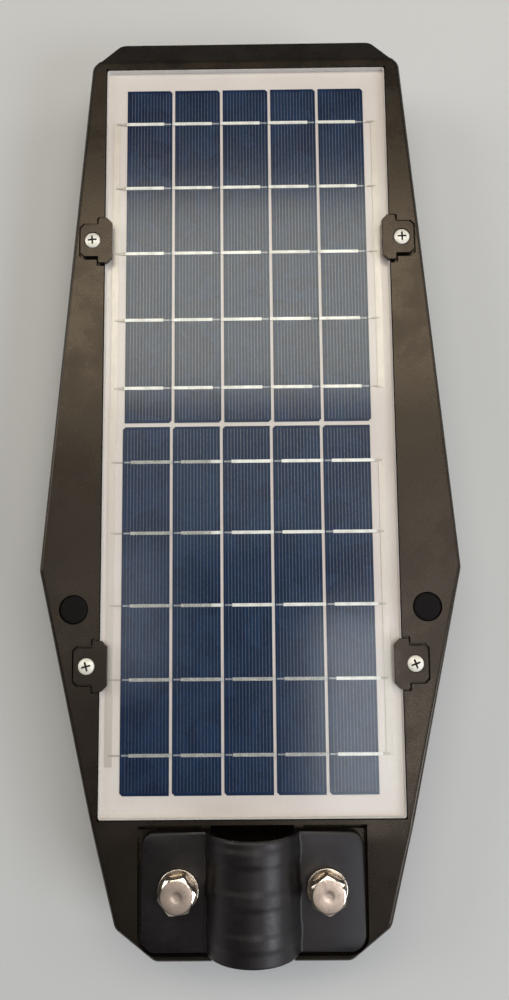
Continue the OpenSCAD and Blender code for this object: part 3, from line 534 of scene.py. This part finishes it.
def piece(name, bm, body, slot, stands_for, materials=None, origin=(0, 0, 0)):
    """A finished mesh as an object that rides on a body and stands for CAD nodes."""
    mesh = bpy.data.meshes.new(name)
    bm.to_mesh(mesh)
    bm.free()
    obj = bpy.data.objects.new(name, mesh)
    obj.location = origin
    scene.collection.objects.link(obj)
    for material in materials or [slots[slot]]:
        mesh.materials.append(material)
    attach(obj, body)
    if stands_for:
        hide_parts(*stands_for)
    return obj


def shade(obj, angle):
    """Smooth shading, but sharp at edges that turn by more than angle."""
    smooth(obj.data)
    obj.data.set_sharp_from_angle(angle=math.radians(angle))


def skin(bm, rings, ends=True):
    """Quads between each ring of vertices and the next, and a face over each end."""
    for a, b in zip(rings, rings[1:]):
        for k in range(len(a)):
            bm.faces.new([a[k - 1], a[k], b[k], b[k - 1]])
    if ends:
        bm.faces.new(rings[0])
        bm.faces.new(list(reversed(rings[-1])))
    bmesh.ops.recalc_face_normals(bm, faces=bm.faces)


def lathe(bm, profile, steps=96, closed=False, start=0.0, end=360.0, lift=0.0):
    """Turns (radius, height) points about Z. Points at radius 0 become one vertex.

    closed joins the last point to the first. lift raises the end of the turn above its start.
    """
    whole = end - start >= 360
    count = steps if whole else steps + 1
    rings = []
    for r, z in profile:
        if r < 1e-9:
            rings.append([bm.verts.new((0, 0, z))] * count)
            continue
        ring = []
        for k in range(count):
            a = math.radians(start + (end - start) * k / steps)
            ring.append(bm.verts.new((r * math.cos(a), r * math.sin(a), z + lift * k / steps)))
        rings.append(ring)
    for a, b in zip(rings, rings[1:] + rings[:1] if closed else rings[1:]):
        for k in range(steps):
            after = (k + 1) % count
            corners = list(dict.fromkeys([a[k], a[after], b[after], b[k]]))
            if len(corners) >= 3:
                bm.faces.new(corners)
    if not whole and closed:
        bm.faces.new([ring[0] for ring in rings])
        bm.faces.new([ring[-1] for ring in reversed(rings)])
    bmesh.ops.recalc_face_normals(bm, faces=bm.faces)


def hex_bolt(name, body, x, turn):
    """M8 hexagon bolt: dimpled top, chamfered corners, and a plain shank with a rolled thread below."""
    bm = bmesh.new()
    seat, head_t = 7.7 * MM, 5.5 * MM
    top = seat + head_t
    flat_r, half_flats, corner_r = 6.55 * MM, 7 * MM, 7.98 * MM
    shank_r, root_r, pitch = 4.0 * MM, 3.42 * MM, 1.25 * MM
    plain_end, thread_end, tip = seat - 12 * MM, seat - 33.5 * MM, seat - 35 * MM
    steps = 144

    def hexagon(a):
        within = (math.degrees(a) - turn) % 60 - 30
        return min(half_flats / math.cos(math.radians(within)), corner_r)

    def chamfer(r):
        return top - (r - flat_r) / 1.8 - 0.05 * MM

    def ring(radius, height):
        """One turn of vertices; radius may depend on the angle, and height on the radius."""
        verts = []
        for k in range(steps):
            a = 2 * math.pi * k / steps
            r = radius(a) if callable(radius) else radius
            z = height(r) if callable(height) else height
            verts.append(bm.verts.new((r * math.cos(a), r * math.sin(a), z)))
        return verts

    rings = [
        ring(0.5 * MM, top - 0.22 * MM),
        ring(1.5 * MM, top - 0.20 * MM),
        ring(2.1 * MM, top - 0.06 * MM),
        ring(2.6 * MM, top - 0.02 * MM),
        ring(flat_r - 0.35 * MM, top),
        ring(flat_r - 0.05 * MM, top - 0.05 * MM),
        ring(flat_r + 0.25 * MM, chamfer),
        ring(lambda a: hexagon(a) - 0.18 * MM, chamfer),
        ring(hexagon, lambda r: chamfer(r) - 0.18 * MM),
        ring(hexagon, seat + 0.25 * MM),
        ring(lambda a: hexagon(a) - 0.25 * MM, seat),
        ring(shank_r + 0.4 * MM, seat),
        ring(shank_r, seat - 0.4 * MM),
        ring(shank_r, plain_end),
    ]
    z = plain_end
    while z > thread_end:
        for r, drop in ((root_r, 0.45 * MM), (root_r, 0.65 * MM), (shank_r, 1.1 * MM), (shank_r, pitch)):
            rings.append(ring(r, z - drop))
        z -= pitch
    rings.append(ring(3.0 * MM, tip))
    skin(bm, rings)
    for face in bm.faces:
        middle = face.calc_center_median()
        face.material_index = 0 if middle.z > top - 0.3 * MM and middle.xy.length < flat_r else 1
    shade(piece(name, bm, body, "bolt_steel", [body], [slots["bolt_steel"], plated_steel], (x, 0, 0)), 28)


def washers(name, node, profile, **partial):
    """The same lathe profile round both bolts, as one piece for each, with the rims in plated steel and the
    upward faces in a dark metal that is painted shade from the heads.
    """
    for side, x in (("left", -BOLT_X), ("right", BOLT_X)):
        bm = bmesh.new()
        lathe(bm, profile, closed=True, **partial)
        for face in bm.faces:
            # Upward faces take the painted shade
            face.material_index = 1 if face.normal.z > 0.99 else 0
        shade(piece(f"{name}_{side}", bm, "clamp_plate", "bolt_steel", [node], [plated_steel, washer_painted_shade],
                    (x, 0, 0)), 40)


def rounded_ring(inner, outer, low, high, r):
    """Profile of a flat ring with small radii, as (radius, height) points."""
    points = []
    for cx, cz, start in ((outer - r, low + r, -90), (outer - r, high - r, 0),
                          (inner + r, high - r, 90), (inner + r, low + r, 180)):
        for k in range(4):
            a = math.radians(start + 30 * k)
            points.append((cx + r * math.cos(a), cz + r * math.sin(a)))
    return points


hex_bolt("hex_bolt_left", "clamp_bolt_left", -BOLT_X, 8)
hex_bolt("hex_bolt_right", "clamp_bolt_right", BOLT_X, 33)
washers("flat_washer", "flat_washers", rounded_ring(4.1 * MM, 8.5 * MM, 4.0 * MM, 5.6 * MM, 0.3 * MM))
washers("spring_washer", "spring_washers", rounded_ring(4.1 * MM, 7.05 * MM, 5.62 * MM, 7.4 * MM, 0.2 * MM),
        start=8, end=352, lift=0.28 * MM)


def plug(name, node):
    """Soft rubber plug: a flat face, a wide rolled edge down to the flank, and a hollow stem below."""
    low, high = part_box(node)
    x, y, r = (low[0] + high[0]) / 2, (low[1] + high[1]) / 2, (high[0] - low[0]) / 2
    top, bottom = high[2], low[2]
    roll_w, roll_h, wall = 1.6 * MM, 0.9 * MM, 2 * MM
    profile = [(0, top), (r * 0.5, top)]
    for k in range(9):
        a = math.radians(90 - 10 * k)
        profile.append((r - roll_w + roll_w * math.cos(a), top - roll_h * (1 - math.sin(a))))
    profile += [(r, top - roll_h), (r, bottom + 0.3 * MM), (r - 0.3 * MM, bottom), (r - wall, bottom),
                (r - wall, top - wall), (0, top - wall)]
    bm = bmesh.new()
    lathe(bm, profile)
    shade(piece(name, bm, "housing", "plug_rubber", [node], origin=(x, y, 0)), 50)


plug("rubber_plug_left", "plug_left")
plug("rubber_plug_right", "plug_right")


def smoothstep(t):
    t = min(max(t, 0.0), 1.0)
    return t * t * (3 - 2 * t)


def pole_clamp():
    """Clamp plate: a rounded plate, a half-round arch with three soft bands, and a fillet between them."""
    bm = bmesh.new()
    near, far, low, high = -25 * MM, 22.9 * MM, 1.0 * MM, 4.0 * MM
    half, corner, edge, fillet = 46.5 * MM, 6.8 * MM, 0.5 * MM, 1.6 * MM
    arch_r, band_t, band_l, band_rise = 19.68 * MM, 0.36 * MM, 6 * MM, 3 * MM
    band_starts = (-19 * MM, -3 * MM, 13 * MM)

    def half_width(y):
        d = max(near + corner - y, y - (far - corner), 0.0)
        return half - corner + math.sqrt(max(corner * corner - d * d, 0.0))

    def arch_radius(y):
        r = arch_r
        for start in band_starts:
            rise = smoothstep((y - start + band_rise / 2) / band_rise)
            fall = smoothstep((start + band_l + band_rise / 2 - y) / band_rise)
            r += band_t * rise * fall
        return r

    def section(y, shrink):
        """Outline at y, anticlockwise seen from the far end. A shrunk outline rounds the two ends over."""
        xe = half_width(y) - shrink
        top, bottom = high - shrink, low + shrink
        r = arch_radius(y) - shrink
        inner = BORE_R + shrink
        foot = math.sqrt(inner * inner - bottom * bottom) + 0.3 * MM
        start = math.asin(bottom / inner)
        cut = edge * 0.3

        points = [(-xe, bottom + edge), (-xe + cut, bottom + cut), (-xe + edge, bottom), (-foot, bottom)]
        for k in range(33):
            a = math.pi - start - (math.pi - 2 * start) * k / 32
            points.append((inner * math.cos(a), inner * math.sin(a)))
        points += [(foot, bottom), (xe - edge, bottom), (xe - cut, bottom + cut), (xe, bottom + edge)]
        points += [(xe, top - edge), (xe - cut, top - cut), (xe - edge, top)]
        # Fillet between plate and arch, then the arch, then the other fillet
        cz = top + fillet
        cx = math.sqrt((r + fillet) ** 2 - cz * cz)
        lean = math.atan2(cz, cx)
        turns = [-math.pi / 2 - (math.pi / 2 - lean) * k / 6 for k in range(7)]
        points += [(cx + fillet * math.cos(a), cz + fillet * math.sin(a)) for a in turns]
        for k in range(1, 48):
            a = lean + (math.pi - 2 * lean) * k / 48
            points.append((r * math.cos(a), r * math.sin(a)))
        points += [(-cx - fillet * math.cos(a), cz + fillet * math.sin(a)) for a in reversed(turns)]
        points += [(-xe + edge, top), (-xe + cut, top - cut), (-xe, top - edge)]
        return points

    stations = [(near, 0.6 * MM), (near + 0.18 * MM, 0.18 * MM), (near + 0.6 * MM, 0.0)]
    y = near + 1.1 * MM
    while y < far - 1.0 * MM:
        stations.append((y, 0.0))
        y += 0.5 * MM
    stations += [(far - 0.8 * MM, 0.0), (far - 0.24 * MM, 0.24 * MM), (far, 0.8 * MM)]
    skin(bm, [[bm.verts.new((x, y, z)) for x, z in section(y, shrink)] for y, shrink in stations])
    shade(piece("pole_clamp_cover", bm, "clamp_plate", "clamp_plastic", ["clamp_plate"]), 40)


pole_clamp()


def cross_cutter(name, height, turn):
    """The cutter for a cross-head screw's recess: two tapered blades that cross, turned by turn degrees."""
    bm = bmesh.new()
    spin = Matrix.Translation((0, 0, height)) @ Matrix.Rotation(math.radians(turn), 4, "Z")
    for quarter in (0, 90):
        arm = spin @ Matrix.Rotation(math.radians(quarter), 4, "Z")
        top, low = [], []
        for x, y in ((-1, -1), (1, -1), (1, 1), (-1, 1)):
            top.append(bm.verts.new(arm @ Vector((x * 2.9 * MM, y * 0.46 * MM, 1.4 * MM))))
            low.append(bm.verts.new(arm @ Vector((x * 0.9 * MM, y * 0.3 * MM, -1.5 * MM))))
        skin(bm, [top, low])
    # The cutter's faces become the recess walls and take the second material, the painted shade
    for face in bm.faces:
        face.material_index = 1
    mesh = bpy.data.meshes.new(name)
    bm.to_mesh(mesh)
    bm.free()
    cutter = bpy.data.objects.new(name, mesh)
    scene.collection.objects.link(cutter)
    return cutter


def clip_screw(name, x, y, turn):
    """Pan-head screw in a clip, with its cross recess cut by a Boolean and coloured near-black inside as
    painted shade.
    """
    seat, shank_r, head_r, crown = 7.0 * MM, 1.7 * MM, 3.5 * MM, 1.88 * MM
    profile = [(0.0, crown)]
    for k in range(1, 11):
        profile.append((head_r * k / 10 * 0.94, crown - 0.72 * MM * (k / 10) ** 2.4))
    profile += [(head_r - 0.04 * MM, 0.95 * MM), (head_r, 0.7 * MM), (head_r, 0.15 * MM),
                (head_r - 0.15 * MM, 0.0), (shank_r, 0.0), (shank_r, -13.0 * MM),
                (0.6 * MM, -14.8 * MM), (0.0, -15.0 * MM)]
    bm = bmesh.new()
    lathe(bm, profile, 64)
    obj = piece(name, bm, "housing", "screw_steel", ["clip_screws"],
                [slots["screw_steel"], recess_painted_shade], (x, y, seat))
    cutter = cross_cutter(name + "_cutter", 1.6 * MM, turn)
    cutter.location = (x, y, seat)
    cut = obj.modifiers.new("recess", "BOOLEAN")
    cut.operation, cut.object, cut.solver, cut.use_self = "DIFFERENCE", cutter, "EXACT", True
    bpy.context.view_layer.update()
    cut_mesh = bpy.data.meshes.new_from_object(obj.evaluated_get(bpy.context.evaluated_depsgraph_get()))
    obj.modifiers.clear()
    obj.data = cut_mesh
    bpy.data.objects.remove(cutter)
    bevel = obj.modifiers.new("bevel", "BEVEL")
    bevel.limit_method, bevel.angle_limit = "ANGLE", math.radians(35)
    bevel.width, bevel.segments = 0.06 * MM, 2
    shade(obj, 40)


for row, y, left_turn, right_turn in (("far", 280.2 * MM, 5, 2), ("near", 91.4 * MM, 15, 20)):
    clip_screw(f"clip_screw_{row}_left", -CLIP_SCREW_X, y, left_turn)
    clip_screw(f"clip_screw_{row}_right", CLIP_SCREW_X, y, right_turn)


def laminate_rim():
    """The panel's sealed edge: a thin band round glass and backsheet, with a rounded upper edge, paler than
    the backsheet as a painted highlight of the glass edge.
    """
    bm = bmesh.new()
    inner, outer, corner = 0.02 * MM, 0.3 * MM, 0.8 * MM
    low, high = 3.05 * MM, 5.86 * MM
    rings = []
    for out, z in ((inner, low), (outer, low), (outer, high - 0.26 * MM),
                   (outer - 0.08 * MM, high - 0.06 * MM), (inner, high)):
        ring = []
        for sx, sy, start in ((1, 1, 0), (-1, 1, 90), (-1, -1, 180), (1, -1, 270)):
            for k in range(7):
                a = math.radians(start + 15 * k)
                ring.append(bm.verts.new((
                    sx * (PANEL_HALF_W - corner) + (corner + out) * math.cos(a),
                    PANEL_Y + sy * (PANEL_HALF_L - corner) + (corner + out) * math.sin(a), z)))
        rings.append(ring)
    skin(bm, rings + rings[:1], ends=False)
    shade(piece("laminate_rim", bm, "housing", "backsheet", [], [laminate_edge_painted_highlight]), 50)


laminate_rim()


def islands(bm):
    """The vertices of each separate shell."""
    seen = set()
    for first in bm.verts:
        if first in seen:
            continue
        island, queue = [], [first]
        seen.add(first)
        while queue:
            vert = queue.pop()
            island.append(vert)
            for edge in vert.link_edges:
                other = edge.other_vert(vert)
                if other not in seen:
                    seen.add(other)
                    queue.append(other)
        yield island


def leads(node):
    """Both wires of a lead, smoothed, with the right wire in black."""
    bm = bmesh.new()
    bm.from_mesh(nodes[node].data)
    bmesh.ops.remove_doubles(bm, verts=bm.verts, dist=0.002 * MM)
    middle = sum(v.co.x for v in bm.verts) / len(bm.verts)
    for island in islands(bm):
        right = sum(v.co.x for v in island) / len(island) > middle
        for vert in island:
            for face in vert.link_faces:
                face.material_index = 1 if right else 0
    shade(piece(node + "_wires", bm, "housing", "lead_insulation", [node],
                [slots["lead_insulation"], black_insulation]), 60)


for name in ("panel_lead", "battery_lead", "led_lead", "switch_lead"):
    leads(name)


# ---- Camera, floor and light ----

# Nearly straight down, from above the lower middle of the panel, tilted a little towards the far end
camera = bpy.data.objects.new("camera", bpy.data.cameras.new("camera"))
camera.data.sensor_width = 36
camera.data.lens = 28.8
camera.data.clip_start = 0.01
camera.location = (4.565 * MM, 120.56 * MM, 351.5 * MM)
camera.rotation_euler = [math.radians(turn) for turn in (6.804, 0.446, -0.541)]
scene.collection.objects.link(camera)
scene.camera = camera


def floor():
    """A wide pale floor that is clear from below.

    It is open inside the rim that the lamp stands on, so that light reaches the underside.
    """
    width = 4
    middle = Vector((0, 175.5 * MM))
    underside = nodes["bottom_housing"].data.vertices
    feet = [v.co.to_2d() - middle for v in underside if v.co.z < REST_Z + 0.5 * MM]
    corners = sorted((feet[i] for i in convex_hull_2d(feet)), key=lambda c: math.atan2(c.y, c.x))
    bm = bmesh.new()
    inner = [bm.verts.new((c * 0.97).to_3d()) for c in corners]
    outer = [bm.verts.new((c.normalized() * width).to_3d()) for c in corners]
    for k in range(len(corners)):
        bm.faces.new([inner[k - 1], outer[k - 1], outer[k], inner[k]])
    mesh = bpy.data.meshes.new("ground")
    bm.to_mesh(mesh)
    bm.free()
    ground = bpy.data.objects.new("ground", mesh)
    ground.location = (*middle, REST_Z)
    scene.collection.objects.link(ground)
    g = Graph("ground")
    below = g.add("ShaderNodeNewGeometry").outputs["Backfacing"]
    pale = g.mix(g.span(g.noise(3, 2), 0.3, 0.7), (0.62, 0.62, 0.61), (0.66, 0.66, 0.65))
    mesh.materials.append(g.done(g.shader_mix(
        below, g.principled(pale, 0.9), g.add("ShaderNodeBsdfTransparent").outputs[0])))


floor()


def softbox(name, place, size, radiance, colour=(1, 1, 1), aim=None):
    """A rectangular lamp of size (width, height), equally bright all over, facing aim or straight down."""
    data = bpy.data.lights.new(name, "AREA")
    data.shape = "RECTANGLE"
    data.size, data.size_y = size
    data.energy = radiance * math.pi * size[0] * size[1]
    data.color = colour
    obj = bpy.data.objects.new(name, data)
    obj.location = place
    aim = aim or (place[0], place[1], 0)
    obj.rotation_euler = (Vector(aim) - Vector(place)).to_track_quat("-Z", "Y").to_euler()
    scene.collection.objects.link(obj)


softbox("ceiling", (0.0, 0.66, 1.05), (1.10, 0.38), 4.1, (1.0, 0.94, 0.80))
softbox("window", (0.20, -0.08, 1.0), (0.21, 0.34), 4.2, (0.97, 0.98, 1.0))
softbox("window_top", (0.42, 0.21, 1.0), (0.40, 0.22), 2.2, (0.98, 0.98, 1.0))
softbox("low_window", (1.05, -0.50, 0.95), (0.80, 0.60), 6.0, (0.84, 0.90, 1.0), aim=(0, 0, 0))
softbox("near_wall", (0.05, -0.38, 1.0), (0.60, 0.30), 0.22, (1.0, 0.92, 0.84))
softbox("lower_left", (-0.30, 0.09, 1.0), (0.30, 0.22), 1.35)
softbox("overhead", (0.0, 0.32, 1.02), (0.80, 0.22), 0.6)
softbox("side_left", (-1.35, 0.62, 1.0), (0.8, 0.8), 3.4, (1.0, 0.98, 0.95), aim=(0, 0.2, 0))
softbox("side_right", (1.35, 0.62, 1.0), (0.8, 0.8), 2.2, (1.0, 0.98, 0.95), aim=(0, 0.2, 0))

# The room is dim overhead and brighter towards the horizon
HORIZON, ZENITH = 0.5, 0.05
world = bpy.data.worlds.new("room")
world.use_nodes = True
sky = world.node_tree
up = sky.nodes.new("ShaderNodeSeparateXYZ")
sky.links.new(sky.nodes.new("ShaderNodeTexCoord").outputs["Generated"], up.inputs[0])
fade = sky.nodes.new("ShaderNodeMapRange")
fade.interpolation_type = "SMOOTHSTEP"
for socket, value in zip(fade.inputs[1:5], (0.10, 0.40, HORIZON, ZENITH)):
    socket.default_value = value
sky.links.new(up.outputs["Z"], fade.inputs[0])
sky.links.new(fade.outputs[0], sky.nodes["Background"].inputs["Strength"])
sky.nodes["Background"].inputs["Color"].default_value = (0.97, 0.98, 1.0, 1)
scene.world = world
scene.view_settings.view_transform = "Standard"
